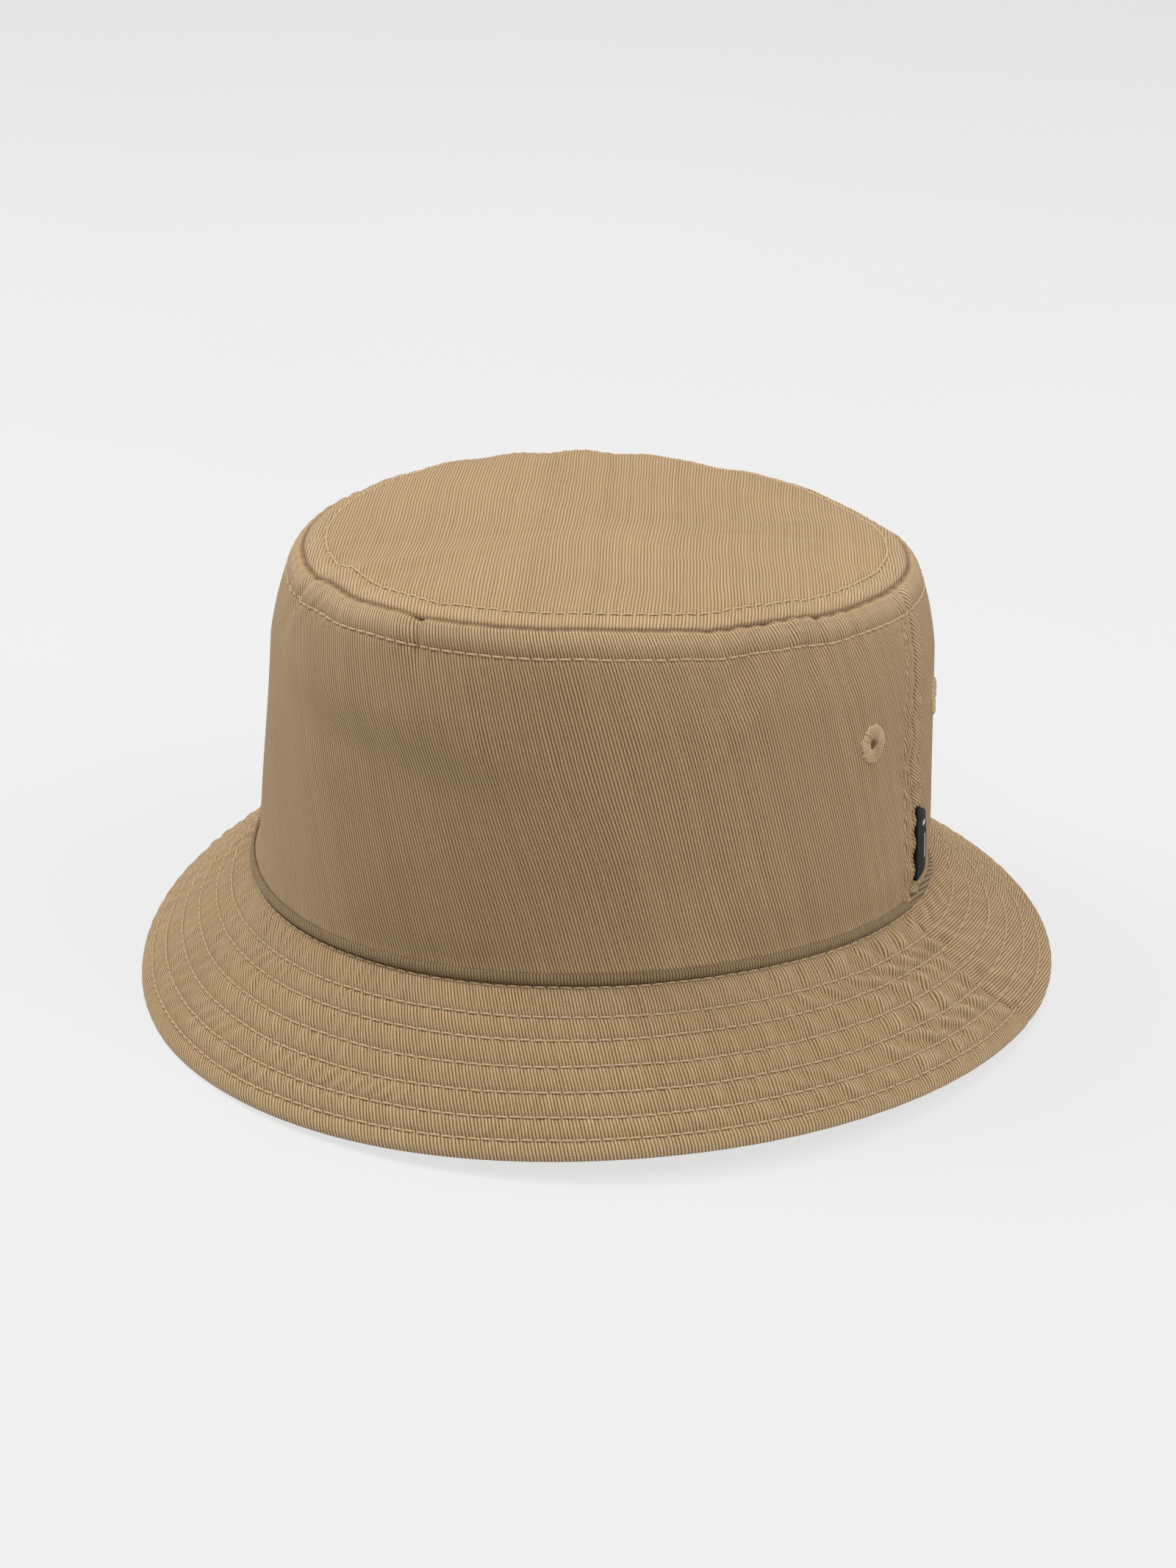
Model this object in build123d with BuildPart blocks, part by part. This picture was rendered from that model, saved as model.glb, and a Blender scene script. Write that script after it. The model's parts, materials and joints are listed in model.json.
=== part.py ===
from build123d import *
from math import cos, radians, sin, sqrt, tan
import os

# A bucket hat of washed cotton twill, standing on its brim, in millimetres.
# +Z is up, the front of the hat faces -Y and the wearer's left is +X.
# The origin is the centre of the brim's edge, on the surface the hat stands on.
#
# The crown is drawn round, as a turned body about Z, and then stretched front to back
# into an oval and sheared so that its seams drop towards the back.

# ---------------------------------------------------------------- driving dimensions

head_radius = 87.0            # half width of the crown at the brim seam
crown_oval = 1.15             # the crown's depth over its width
crown_forward = 4.0           # the crown's centre lies this far in front of the brim's
crown_lean = 3.4              # the crown's seams drop to the back by this angle, degrees
brim_half_width = 121.0
brim_half_depth = 134.0

brim_seam_height = 30.0       # middle of the brim seam above the standing surface
shoulder_height = 92.0        # the wall is straight up to here
shoulder_radius = 83.5
tip_seam_height = 114.0       # where the top panel meets the wall
tip_radius = 75.5
tip_puff = 4.4                # the top panel rises this far above its seam

twill = 0.6                   # one layer of the shell fabric
tape = 0.35                   # cotton tape over the inside of the seams
tape_width = 16.0
band = 1.0                    # folded sweatband
band_height = 32.0

brim_layer = 0.7              # one twill layer of the sloping brim, along Z
interlining = 0.3             # stiffener between the brim's layers, along Z
seam_flange = 2.0             # the brim's inner edge runs this far under the crown wall

side_seam_y = 1.0             # the side seams lie in this plane

thread = 0.4                  # sewing thread
thread_lift = 0.32            # height of a thread's centre above the crown's cloth
brim_thread_lift = 0.45       # and above or below the sloping brim, along Z
side_stitch_gap = 6.0         # topstitching each side of a side seam
tip_stitch_drop = 5.0         # topstitching below the tip seam
brim_rows = [0.04, 0.21, 0.34, 0.49, 0.63, 0.77, 0.895]  # share of the brim's width

eyelet_diameter = 10.6
eyelet_hole = 2.8
eyelet_cut = 4.4              # hole in the cloth that the eyelet's thread binds
eyelet_proud = 0.5
eyelet_height = 79.5          # on the round crown
eyelet_from_seam = 24.0       # along Y, each side of a side seam

side_label_thickness = 0.8
side_label_width = 9.5        # side seam to free edge
side_label_low = 35.0         # lower and upper end of the sewn edge, on the round crown
side_label_high = 55.6
side_label_top_slant = 4.6    # the free edge starts this far below the sewn edge
side_label_bottom_slant = 0.8
side_label_clearance = 0.4
side_label_lift = 3.0         # it stands off the back panel by this angle, degrees

size_label_width = 24.0
size_label_height = 16.0
size_label_thickness = 0.4
size_label_low = 8.0          # above the brim seam

far = 150.0                   # reaches past the crown from its centre line

os.makedirs("parts", exist_ok=True)

# -------------------------------------------------------------- from round to oval crown

slope = tan(radians(crown_lean))
head_half_depth = head_radius * crown_oval
halves = {"front": Keep.TOP, "back": Keep.BOTTOM}
sides = {"left": 1, "right": -1}   # of the wearer, left is +X


def round_y(y):
    """Where a Y position of the finished crown lies on the round one."""
    return (y + crown_forward) / crown_oval


def leaning_oval(shape, stretch, drop, centre_y):
    """Stretch a shape along Y, let its seams drop towards the back, and move it."""
    change = Matrix([
        [1, 0, 0, 0],
        [0, stretch, 0, centre_y],
        [0, -drop * stretch, 1, 0],
    ])
    return shape.transform_geometry(change)


def crown_shape(shape):
    """The finished shape of a piece of the round crown."""
    return leaning_oval(shape, crown_oval, slope, -crown_forward)


def level(height):
    """The leaning plane that crosses the crown's centre line at a height."""
    return Plane(origin=(0, -crown_forward, height), x_dir=(1, 0, 0), z_dir=(0, slope, 1))


# ------------------------------------------------------- the round crown's cross-section


def wall_outline(inset=0.0):
    """The wall's outside, straight to the shoulder, then an arc in to the tip seam."""
    shoulder = (shoulder_radius - inset, shoulder_height)
    with BuildLine() as outline:
        straight = Line((head_radius - inset, brim_seam_height), shoulder)
        TangentArc(shoulder, (tip_radius - inset, tip_seam_height), tangent=straight % 1)
    return outline.line


def crown_fill(inset):
    """Half of the crown's cross-section, filled in, its outline moved in by a distance."""
    seam = (tip_radius - inset, tip_seam_height)
    rim = (tip_radius - tip_puff, tip_seam_height + tip_puff - inset)
    with BuildSketch() as fill:
        with BuildLine():
            add(wall_outline(inset))
            RadiusArc(seam, rim, -(tip_puff - inset))
            Polyline(rim, (0, rim[1]), (0, brim_seam_height),
                     (head_radius - inset, brim_seam_height))
        make_face()
    return fill.sketch


def crown_ring(outer, inner, low, high, hole=0.0):
    """The round layer between two insets of the crown, from a low to a high level."""
    with BuildPart() as ring:
        with BuildSketch(Plane.XZ):
            add(crown_fill(outer))
            add(crown_fill(inner), mode=Mode.SUBTRACT)
            with Locations(((hole + far) / 2, (low + high) / 2)):
                Rectangle(far - hole, high - low, mode=Mode.INTERSECT)
        revolve(axis=Axis.Z)
    return ring.part


def wall_radius(height, inset=0.0):
    """The round crown's radius at a height, its outline moved in by a distance."""
    with BuildLine() as level_line:
        Line((0, height), (far, height))
    return wall_outline(inset).intersect(level_line.line)[0].X


seam_plane = Plane(origin=(0, round_y(side_seam_y), 0), x_dir=(1, 0, 0), z_dir=(0, -1, 0))
crown_top = tip_seam_height + tip_puff

# ------------------------------------------------------------------------- crown and tip


def eyelet_plane(half, side):
    """The plane through the round crown's centre line that faces an eyelet."""
    from_seam = -eyelet_from_seam if half == "front" else eyelet_from_seam
    y = round_y(side_seam_y + from_seam)
    x = side * sqrt(wall_radius(eyelet_height) ** 2 - y**2)
    return Plane(origin=(0, 0, eyelet_height), x_dir=(-y, x, 0), z_dir=(x, y, 0))


def round_crown(diameter):
    """An oval on the round crown that becomes a circle once the crown is stretched."""
    return Ellipse(diameter / 2 / crown_oval, diameter / 2)


crown_panels = {}
for half, keep in halves.items():
    with BuildPart() as panel:
        add(crown_ring(0, twill, brim_seam_height, tip_seam_height))
        split(bisect_by=seam_plane, keep=keep)
        for side in sides.values():
            with BuildSketch(eyelet_plane(half, side)):
                round_crown(eyelet_cut)
            extrude(amount=far, mode=Mode.SUBTRACT)
    crown_panels[half] = panel.part
    with BuildPart() as crown_panel:
        add(crown_shape(panel.part))
    crown_panel.part.label = f"crown_panel_{half}"
    export_step(crown_panel.part, f"parts/crown_panel_{half}.step")

with BuildPart() as tip_panel:
    add(crown_shape(crown_ring(0, twill, tip_seam_height, crown_top)))
tip_panel.part.label = "tip_panel"
export_step(tip_panel.part, "parts/tip_panel.step")

# --------------------------------------------------------------------------------- brim


def brim_cone(drop):
    """The filled brim cone, moved down by a distance and cut off level at Z 0."""
    with BuildPart() as cone:
        with BuildSketch(Plane.XY.offset(-drop)):
            Ellipse(brim_half_depth, brim_half_width, rotation=90)
        with BuildSketch(level(brim_seam_height - drop)):
            Ellipse(head_half_depth / cos(radians(crown_lean)), head_radius, rotation=90)
        loft(ruled=True)
        if drop > 0:
            split(bisect_by=Plane.XY, keep=Keep.TOP)
    return cone.part


def head_opening():
    """The oval hole through the brim, flush with the inside of the sweatband."""
    with BuildPart() as hole:
        with BuildSketch(Plane.XY.offset(-far)):
            Circle(head_radius - seam_flange)
        extrude(amount=2 * far)
    return crown_shape(hole.part)


brim_thickness = 2 * brim_layer + interlining

# top and underside of each layer, as distances down from the brim's upper surface
brim_layers = {
    "brim_upper": (0, brim_layer),
    "brim_interlining": (brim_layer, brim_layer + interlining),
    "brim_under": (brim_layer + interlining, brim_thickness),
}
brim_seam_plane = Plane(origin=(0, side_seam_y, 0), x_dir=(1, 0, 0), z_dir=(0, -1, 0))

for layer, (top, underside) in brim_layers.items():
    for half, keep in halves.items():
        with BuildPart() as brim_piece:
            add(brim_cone(top))
            add(brim_cone(underside), mode=Mode.SUBTRACT)
            add(head_opening(), mode=Mode.SUBTRACT)
            split(bisect_by=brim_seam_plane, keep=keep)
        brim_piece.part.label = f"{layer}_{half}"
        export_step(brim_piece.part, f"parts/{layer}_{half}.step")

# ------------------------------------------------------------------ inside of the crown

tape_low = tip_seam_height - tape_width / 2
tape_inset = twill + tape
band_inset = tape_inset + band

with BuildPart() as tip_seam_tape:
    tape_hole = tip_radius - tape_width / 2
    add(crown_shape(crown_ring(twill, tape_inset, tape_low, crown_top, hole=tape_hole)))
tip_seam_tape.part.label = "tip_seam_tape"
export_step(tip_seam_tape.part, "parts/tip_seam_tape.step")

for name, side in sides.items():
    with BuildPart() as strip:
        add(crown_ring(twill, tape_inset, brim_seam_height, tape_low))
        with Locations((side * far / 2, round_y(side_seam_y), 0)):
            Box(far, tape_width / crown_oval, 2 * far, mode=Mode.INTERSECT)
    with BuildPart() as side_seam_tape:
        add(crown_shape(strip.part))
    side_seam_tape.part.label = f"side_seam_tape_{name}"
    export_step(side_seam_tape.part, f"parts/side_seam_tape_{name}.step")

with BuildPart() as sweatband:
    band_top = brim_seam_height + band_height
    add(crown_shape(crown_ring(tape_inset, band_inset, brim_seam_height, band_top)))
sweatband.part.label = "sweatband"
export_step(sweatband.part, "parts/sweatband.step")

# the size label is sewn flat on the inside of the sweatband, at the middle of the back
with BuildPart() as round_size_label:
    label_low = brim_seam_height + size_label_low
    label_inset = band_inset + size_label_thickness
    add(crown_ring(band_inset, label_inset, label_low, label_low + size_label_height))
    with Locations((0, far / 2, 0)):
        Box(size_label_width, far, 2 * far, mode=Mode.INTERSECT)
with BuildPart() as size_label:
    add(crown_shape(round_size_label.part))
size_label.part.label = "size_label"
export_step(size_label.part, "parts/size_label.step")

# ------------------------------------------------------------------ embroidered eyelets

# thread wraps round the cut edge of the cloth and lies proud of it on both sides
proud_layer = crown_ring(-eyelet_proud, twill + eyelet_proud, brim_seam_height, tip_seam_height)

for half, panel in crown_panels.items():
    for name, side in sides.items():
        with BuildPart() as round_eyelet:
            with BuildSketch(eyelet_plane(half, side)):
                round_crown(eyelet_diameter)
                Ellipse(eyelet_hole / 2 / crown_oval, eyelet_hole / 2, mode=Mode.SUBTRACT)
            extrude(amount=far)
            add(proud_layer, mode=Mode.INTERSECT)
            add(panel, mode=Mode.SUBTRACT)
        with BuildPart() as eyelet:
            add(crown_shape(round_eyelet.part))
        eyelet.part.label = f"eyelet_{half}_{name}"
        export_step(eyelet.part, f"parts/eyelet_{half}_{name}.step")

# --------------------------------------------------------------------------- stitching


def thread_section():
    """A six-sided thread keeps the long rows of stitching light."""
    RegularPolygon(thread / 2, 6)


def thread_ring(radius, height):
    """A round of thread about the Z axis."""
    with BuildPart() as ring:
        with BuildSketch(Plane.XZ):
            with Locations((radius, height)):
                thread_section()
        revolve(axis=Axis.Z)
    return ring.part


def brim_row_shape(ring, share, half_width):
    """Lay a ring of the brim's width at a share of the slope onto the brim."""
    half_depth = head_half_depth + (brim_half_depth - head_half_depth) * share
    drop = slope * (1 - share) * head_half_depth / half_depth
    centre_y = -crown_forward * (1 - share)
    return leaning_oval(ring, half_depth / half_width, drop, centre_y)


for number, share in enumerate(brim_rows, start=1):
    half_width = head_radius + (brim_half_width - head_radius) * share
    surface = brim_seam_height * (1 - share)
    with BuildPart() as brim_stitch_row:
        above = surface + brim_thread_lift
        below = surface - brim_thickness - brim_thread_lift
        for height in (above, below):
            add(brim_row_shape(thread_ring(half_width, height), share, half_width))
    brim_stitch_row.part.label = f"brim_stitch_row_{number}"
    export_step(brim_stitch_row.part, f"parts/brim_stitch_row_{number}.step")

with BuildPart() as tip_stitch_upper:
    rim_radius = tip_radius - tip_puff
    add(crown_shape(thread_ring(rim_radius, crown_top + thread_lift)))
tip_stitch_upper.part.label = "tip_stitch_upper"
export_step(tip_stitch_upper.part, "parts/tip_stitch_upper.step")


with BuildPart() as tip_stitch_lower:
    stitch_height = tip_seam_height - tip_stitch_drop
    add(crown_shape(thread_ring(wall_radius(stitch_height, -thread_lift), stitch_height)))
tip_stitch_lower.part.label = "tip_stitch_lower"
export_step(tip_stitch_lower.part, "parts/tip_stitch_lower.step")


def wall_thread(y, side):
    """A thread up the round crown's wall at a Y position, between the other seams."""
    outline = wall_outline(-thread_lift)
    steps = 12
    points = []
    for step in range(steps + 1):
        here = outline @ (step / steps)
        points.append((side * sqrt(here.X**2 - y**2), y, here.Y))
    with BuildPart() as line:
        with BuildLine() as path:
            Spline(points)
        with BuildSketch(Plane(origin=path.line @ 0, z_dir=path.line % 0)):
            thread_section()
        sweep(path=path.line)
        split(bisect_by=Plane.XY.offset(brim_seam_height + 2 * thread), keep=Keep.TOP)
        stop = tip_seam_height - tip_stitch_drop - thread
        split(bisect_by=Plane.XY.offset(stop), keep=Keep.BOTTOM)
    return line.part


for name, side in sides.items():
    with BuildPart() as side_seam_stitch:
        for gap in (-side_stitch_gap, side_stitch_gap):
            add(crown_shape(wall_thread(round_y(side_seam_y + gap), side)))
    side_seam_stitch.part.label = f"side_seam_stitch_{name}"
    export_step(side_seam_stitch.part, f"parts/side_seam_stitch_{name}.step")

# --------------------------------------------------------------------------- side label


def left_wall_point(y, height):
    """A point on the left of the finished crown, from its height on the round one."""
    x = sqrt(wall_radius(height) ** 2 - round_y(y) ** 2)
    return Vector(x, y, height - slope * (y + crown_forward))


# The label is sewn into the left side seam along one edge and swings about that edge.
# The hinge line is the middle of the label's thickness, clear of the wall.
seam_foot = left_wall_point(side_seam_y, side_label_low)
seam_head = left_wall_point(side_seam_y, side_label_high)
sewn_edge = seam_head - seam_foot
along_wall = left_wall_point(side_seam_y + 1, side_label_low) - seam_foot
outward = along_wall.cross(sewn_edge).normalized()
hinge_foot = seam_foot + outward * (side_label_clearance + side_label_thickness / 2)
lying_back = sewn_edge.cross(outward).normalized()
lift = radians(side_label_lift)
towards_free_edge = lying_back * cos(lift) + outward * sin(lift)
label_plane = Plane(
    origin=hinge_foot, x_dir=towards_free_edge, z_dir=towards_free_edge.cross(sewn_edge)
)

with BuildPart() as side_label:
    with BuildSketch(label_plane):
        with BuildLine():
            Polyline(
                (0, 0),
                (side_label_width, side_label_bottom_slant),
                (side_label_width, sewn_edge.length - side_label_top_slant),
                (0, sewn_edge.length),
                close=True,
            )
        make_face()
    extrude(amount=side_label_thickness / 2, both=True)
side_label.part.label = "side_label"
export_step(side_label.part, "parts/side_label.step")
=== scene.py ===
import json
import math

import bmesh
import bpy
import numpy as np
from mathutils import Matrix, Vector


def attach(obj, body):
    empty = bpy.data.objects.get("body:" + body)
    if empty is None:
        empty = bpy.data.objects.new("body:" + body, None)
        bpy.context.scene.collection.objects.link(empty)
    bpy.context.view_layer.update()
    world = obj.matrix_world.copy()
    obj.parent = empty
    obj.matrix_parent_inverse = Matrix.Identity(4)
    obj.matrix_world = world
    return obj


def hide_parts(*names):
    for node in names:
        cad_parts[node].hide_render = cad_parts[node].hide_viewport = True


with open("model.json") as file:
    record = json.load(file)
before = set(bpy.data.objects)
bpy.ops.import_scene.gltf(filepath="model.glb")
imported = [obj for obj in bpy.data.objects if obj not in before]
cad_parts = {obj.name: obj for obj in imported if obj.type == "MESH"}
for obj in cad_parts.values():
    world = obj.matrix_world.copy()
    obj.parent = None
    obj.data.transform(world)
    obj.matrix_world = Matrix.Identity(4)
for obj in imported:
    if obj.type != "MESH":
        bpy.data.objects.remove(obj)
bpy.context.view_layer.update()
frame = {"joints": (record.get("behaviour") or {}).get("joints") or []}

# The bucket hat's cloth is built from three surfaces, the crown wall, the tip and the
# brim, each a function of an angle round the hat and a share of the way across. Angles are
# 0 at the front (-Y) and turn towards +X. Every cloth piece is a closed layer a set distance
# inside or outside one of those surfaces, so neighbouring layers can't cross. Shapes are
# worked out in millimetres and become metres where a mesh is made.

MM = 0.001
TURN = 2 * math.pi

# ------------------------------------------------------------------ the hat's three ovals

# z of an oval: height + front*cos + left*sin + twist*sin(2 angle) + saddle*cos(2 angle),
# and a seam also wanders up and down a little
BRIM_SEAM = dict(half_width=86.9, half_depth=98.8, centre=(-0.4, -4.0),
                 height=30.2, front=5.5, left=-1.4, twist=2.4, saddle=-0.7)
TIP_SEAM = dict(half_width=74.7, half_depth=88.9, centre=(1.4, -4.4),
                height=114.4, front=5.6, left=-1.0, twist=1.6, saddle=0.4, wander=0.55)
BRIM_EDGE = dict(half_width=121.0, half_depth=134.2, centre=(0.3, 0.1),
                 height=3.6, front=-0.2, left=-0.1, twist=3.4, saddle=0.0)

WALL_HEIGHT = 85.0
WALL_RADIUS = 92.0         # mean radius of the wall, for distances round it
TIP_RADIUS = 80.0          # mean distance from the middle of the tip to its seam
TIP_SEAM_RADIUS = 82.0     # mean radius of the tip seam, for distances along it
SHOULDER = 0.74            # share of the wall's height where it is fullest
FULLNESS = 5.0
BRIM_WIDTH = 44.6
BRIM_SPREAD = 32.0         # the brim's edge is this much further out than its seam
TIP_PUFF = 3.8             # the tip stands this far above its seam
TIP_ROLL = 12              # and is flatter the larger this power is

TWILL = 0.6                # thicknesses
TAPE = 0.35
BAND = 1.0
STIFFENER = 0.3
SIZE_LABEL = 0.4
BAND_HEIGHT = 32.0
TAPE_WIDTH = 16.0
BRIM_ROWS = (0.040, 0.209, 0.338, 0.487, 0.631, 0.769, 0.893)   # shares of the width
TIP_STITCH = 6.0           # topstitching, from the tip seam
SIDE_STITCH = 6.0          # topstitching, from a side seam
STITCH_LENGTH = 3.15
THREAD = 0.56

PANEL_COLUMNS = 300        # points of each mesh round the hat
BRIM_COLUMNS = 420
TIP_COLUMNS = 440
BAND_COLUMNS = 360

MIDDLE = {"front": 0.0, "back": math.pi}          # the angle at the middle of each half
WALL_RIBS = {"front": 110.0, "back": 126.0}       # degrees from level round to the ribs
BRIM_RIBS = {"front": 114.0, "back": 128.0}
TIP_RIBS = 112.0


def oval(angle, o):
    """Points of an oval, one per angle."""
    z = (o["height"] + o["front"] * np.cos(angle) + o["left"] * np.sin(angle)
         + o["twist"] * np.sin(2 * angle) + o["saddle"] * np.cos(2 * angle))
    z = z + o.get("wander", 0.0) * round_noise(angle, 0 * angle, 47, 71)
    x = o["centre"][0] + o["half_width"] * np.sin(angle)
    y = o["centre"][1] - o["half_depth"] * np.cos(angle)
    return np.stack([x, y, z], axis=-1)


def outward(angle, o):
    """Level unit vectors square to an oval."""
    n = np.stack([np.sin(angle) / o["half_width"], -np.cos(angle) / o["half_depth"],
                  0 * angle], axis=-1)
    return n / np.linalg.norm(n, axis=-1, keepdims=True)


def blend(a, b, share):
    return a + (b - a) * share[..., None]


def wrapped(angle):
    """The same angle between minus and plus half a turn."""
    return np.arctan2(np.sin(angle), np.cos(angle))


# ---------------------------------------------------------------------- cloth's unevenness


def noise(u, v, seed, period=64):
    """Smooth value noise with a cell of 1, from about -1 to 1, repeating along u."""
    lattice = np.random.default_rng(seed).uniform(-1, 1, (period, 64))
    iu, iv = np.floor(u).astype(int), np.floor(v).astype(int)
    fu, fv = u - iu, v - iv
    fu, fv = fu * fu * (3 - 2 * fu), fv * fv * (3 - 2 * fv)
    next_u, next_v = (iu + 1) % period, (iv + 1) % 64
    iu, iv = iu % period, iv % 64
    low = lattice[iu, iv] * (1 - fu) + lattice[next_u, iv] * fu
    high = lattice[iu, next_v] * (1 - fu) + lattice[next_u, next_v] * fu
    return low * (1 - fv) + high * fv


def hump(x, middle, width):
    return np.exp(-(((x - middle) / width) ** 2))


def round_noise(angle, across, cells, seed):
    """Noise with a whole number of cells round the hat."""
    return noise(angle / TURN * cells, across, seed, cells)


def round_puckers(angle, across, seed, waves, sway=0.7, slant=0.0):
    """Short uneven ripples along a seam round the hat, from about -1 to 1."""
    drift = sway * round_noise(angle, across / 9, waves // 3, seed)
    wave = np.sin(waves * angle + TURN * (drift + slant * across))
    strength = 0.55 + 0.45 * round_noise(angle, across / 30, waves // 4, seed + 1)
    return wave * strength + 0.35 * round_noise(angle, across / 4.5, 2 * waves, seed + 2)


def puckers(along, across, seed, pitch=7.0):
    """The same along a seam with two ends."""
    drift = 0.7 * noise(along / 17, across / 9, seed)
    wave = np.sin(TURN * (along / pitch + drift))
    strength = 0.55 + 0.45 * noise(along / 23, across / 30, seed + 1)
    return wave * strength + 0.35 * noise(along / 3.1, across / 4.5, seed + 2)


# ------------------------------------------------------------------------ crown wall


def side_seam_angle(share, side):
    """Where a side seam runs up the wall. Side 1 is the wearer's left."""
    if side > 0:
        return math.radians(92.5) + 0.05 * share**3 - 0.03 * share
    return -math.radians(90.5)


def from_side_seam(angle, share):
    """Distance along the wall from the nearer side seam, + towards the back."""
    turned = wrapped(angle)
    left = (np.abs(turned) - side_seam_angle(share, 1)) * WALL_RADIUS
    right = (np.abs(turned) + side_seam_angle(share, -1)) * WALL_RADIUS
    return np.where(turned > 0, left, right)


def plain_wall(angle, share):
    """Share 0 is the brim seam and 1 the tip seam."""
    straight = share / SHOULDER * FULLNESS
    past = np.clip((share - SHOULDER) / (1 - SHOULDER), 0, 1)
    full = np.where(share < SHOULDER, straight, FULLNESS * np.sqrt(1 - past**2))
    return (blend(oval(angle, BRIM_SEAM), oval(angle, TIP_SEAM), share)
            + outward(angle, BRIM_SEAM) * full[..., None])


# folds in the wall: angle in degrees, distance below the tip seam, reach round the hat and
# down the wall, slant (round per down), depth (a negative depth stands out)
WALL_FOLDS = (
    (-6.5, 3.0, 1.8, 7.0, 0.35, 1.3),
    (-10.5, 3.0, 3.0, 6.0, 0.2, -0.7),
    (-40.5, 4.0, 2.6, 8.0, -0.3, 1.4),
    (-36.0, 6.0, 4.0, 8.0, -0.3, -0.7),
    (49.0, 10.0, 3.2, 12.0, -0.9, 0.8),
    (56.0, 13.0, 3.0, 16.0, -1.0, -0.6),
    (63.0, 12.0, 3.2, 14.0, -0.5, 0.8),
    (72.0, 15.0, 3.4, 18.0, -0.4, 0.6),
    (-14.0, 34.0, 26.0, 7.0, 2.4, 0.9),
    (10.0, 30.0, 30.0, 9.0, 2.0, -0.6),
    (28.0, 62.0, 30.0, 10.0, -1.2, 0.5),
)


def seam_ripples(angle):
    """Height of the ripples along the tip seam, strongest by the wearer's left temple."""
    turned = wrapped(angle)
    return 0.16 + 0.30 * hump(turned, 1.05, 0.45) + 0.16 * hump(turned, -0.75, 0.35)


def wall_relief(angle, share):
    """How far the wall stands out from its plain shape."""
    down = (1 - share) * WALL_HEIGHT
    up = share * WALL_HEIGHT
    side = from_side_seam(angle, share)
    free = np.clip(up / 9, 0, 1) * np.clip(down / 7, 0, 1)
    d = 0.9 * free * round_noise(angle, down / 38 + 3, 12, 11)
    d += 0.30 * free * round_noise(angle, down / 21, 33, 12)
    d += 0.12 * hump(down, 2.8, 1.8) - 0.34 * hump(down, TIP_STITCH, 0.7)
    d -= 0.5 * hump(down, 0, 0.45)
    d += seam_ripples(angle) * round_puckers(angle, down, 21, 96) * np.exp(-((down / 10) ** 2))
    low_ripple = round_puckers(angle, down, 24, 64) * np.exp(-((up / 7) ** 2))
    d += 0.14 * low_ripple * np.clip(up / 2, 0, 1)
    d += 0.75 * hump(up, -0.4, 2.4)
    d -= 0.75 * hump(side, 0, 0.9)
    d += 0.35 * (hump(side, -3, 1.7) + hump(side, 3, 1.7))
    d -= 0.45 * (hump(side, -SIDE_STITCH, 0.7) + hump(side, SIDE_STITCH, 0.7))
    d += 0.45 * puckers(up, side, 27, 7.0) * np.exp(-((side / 9) ** 2))
    for degrees, low, reach_round, reach_down, slant, depth in WALL_FOLDS:
        along = WALL_RADIUS * wrapped(angle - math.radians(degrees)) - slant * (down - low)
        d -= depth * hump(along, 0, reach_round) * hump(down, low, reach_down)
    return d


def wall(angle, share):
    """The finished outside of the crown wall."""
    return relieved(plain_wall, wall_relief, angle, share)


# ------------------------------------------------------------------------ tip


def plain_tip(angle, share):
    """Share 0 is the middle of the tip and 1 its seam."""
    rim = oval(angle, TIP_SEAM)
    middle = np.array([TIP_SEAM["centre"][0], TIP_SEAM["centre"][1], TIP_SEAM["height"]])
    p = middle + (rim - middle) * share[..., None]
    p[..., 2] += TIP_PUFF * (1 - share**TIP_ROLL)
    return p


# folds in the tip: angle in degrees, distance in from the seam, reach round the hat and
# inwards, depth
TIP_FOLDS = (
    (-6.0, 4.0, 3.0, 6.0, 0.5),
    (-41.0, 5.0, 3.5, 7.0, 0.9),
    (-33.0, 7.0, 5.0, 8.0, -0.6),
    (60.0, 6.0, 4.0, 9.0, 0.5),
    (98.0, 8.0, 5.0, 10.0, 0.7),
)


def tip_relief(angle, share):
    """How far the tip stands out from its plain shape."""
    inward = (1 - share) * TIP_RADIUS
    p = plain_tip(angle, share)
    free = np.clip(inward / 7, 0, 1)
    d = 0.45 * free * noise(p[..., 0] / 52 + 5, p[..., 1] / 44 + 2, 31)
    d += 0.30 * free * noise(p[..., 0] / 19, p[..., 1] / 23, 32)
    d += 0.16 * hump(inward, 3.0, 2.0) - 0.36 * hump(inward, TIP_STITCH, 0.7)
    d -= 0.5 * hump(inward, 0, 0.45)
    ripple = round_puckers(angle, inward, 34, 88) * np.exp(-((inward / 9) ** 2))
    d += 0.8 * seam_ripples(angle) * ripple * np.clip(inward / 1.5, 0, 1)
    for degrees, middle, reach_round, reach_in, depth in TIP_FOLDS:
        along = TIP_SEAM_RADIUS * wrapped(angle - math.radians(degrees))
        d -= depth * hump(along, 0, reach_round) * hump(inward, middle, reach_in)
    return d * np.clip(share / 0.08, 0, 1) ** 0.5


def tip(angle, share):
    """The finished top of the tip."""
    return relieved(plain_tip, tip_relief, angle, share)


# ------------------------------------------------------------------------ brim


def plain_brim(angle, share):
    """Share 0 is the brim seam and 1 the edge."""
    p = blend(oval(angle, BRIM_SEAM), oval(angle, BRIM_EDGE), share)
    wave = 0.73 * np.sin(2 * angle) * share
    p[..., 0] += wave * np.sin(angle)
    p[..., 1] -= wave * np.cos(angle)
    return p


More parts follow.
